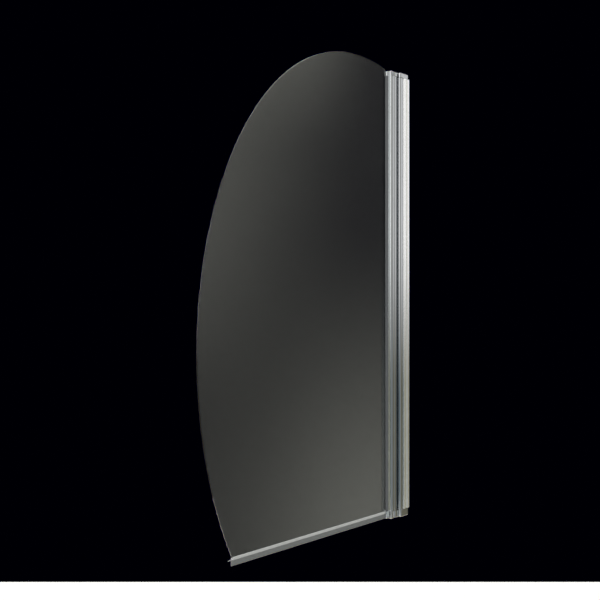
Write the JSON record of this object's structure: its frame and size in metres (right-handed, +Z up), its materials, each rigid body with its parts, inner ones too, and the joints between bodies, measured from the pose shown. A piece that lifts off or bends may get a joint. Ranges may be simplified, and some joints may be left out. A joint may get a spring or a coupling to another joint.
{
  "type": "bath screen",
  "caption": "Half-moon pivoting bath screen: clear glass in a fluted chrome pivot profile, on a hinge post that slides in a wall channel, with end caps and a bottom drip seal.",
  "frame": {"origin": "centre of the middle wall hole, on the wall plane that the back of the wall channel lies on", "axes": "+X into the wall, so the glass reaches along -X; +Y to the wet side over the bath; +Z up"},
  "size_m": [0.802, 0.0444, 1.401],
  "materials": {
    "polished_aluminium": "extruded, polished and bright plated",
    "chromed_caps": "moulded and chrome plated",
    "stainless_steel": "bright stainless",
    "white_nylon": "moulded nylon",
    "black_rubber": "extruded, matt",
    "grey_gasket": "extruded, satin",
    "clear_glass": "clear toughened, polished edges",
    "seal_clip_plastic": "extruded, glossy",
    "seal_lip_plastic": "extruded, soft, satin"
  },
  "bodies": {
    "wall": {"wall_channel": "polished_aluminium"},
    "post": {"hinge_post": "polished_aluminium", "seam_strip": "black_rubber", "post_cap_bottom": "chromed_caps", "post_cap_top": "chromed_caps", "post_cap_screws": "stainless_steel", "adjuster_screws": "stainless_steel", "adjuster_washers": "stainless_steel", "adjuster_covers": "chromed_caps", "pivot_pin_bottom": "stainless_steel", "pivot_pin_top": "stainless_steel"},
    "screen": {"pivot_profile": "polished_aluminium", "pivot_bush_bottom": "white_nylon", "pivot_bush_top": "white_nylon", "pivot_cap_bottom": "chromed_caps", "pivot_cap_top": "chromed_caps", "pivot_cap_screws": "stainless_steel", "glass_panel": "clear_glass", "glazing_gasket_front": "grey_gasket", "glazing_gasket_back": "grey_gasket", "glass_spacers": "white_nylon", "seal_carrier": "seal_clip_plastic", "seal_wiper": "seal_lip_plastic", "seal_drip_fin": "seal_lip_plastic"}
  },
  "joints": [
    {"name": "width_adjuster", "type": "slide", "parent": "wall", "child": "post", "axis": [-1, 0, 0], "range_m": [0, 0.012]},
    {"name": "screen_pivot", "type": "hinge", "parent": "post", "child": "screen", "pos_m": [-0.0575, 0, 0], "axis": [0, 0, 1], "range_deg": [-90, 90]}
  ]
}
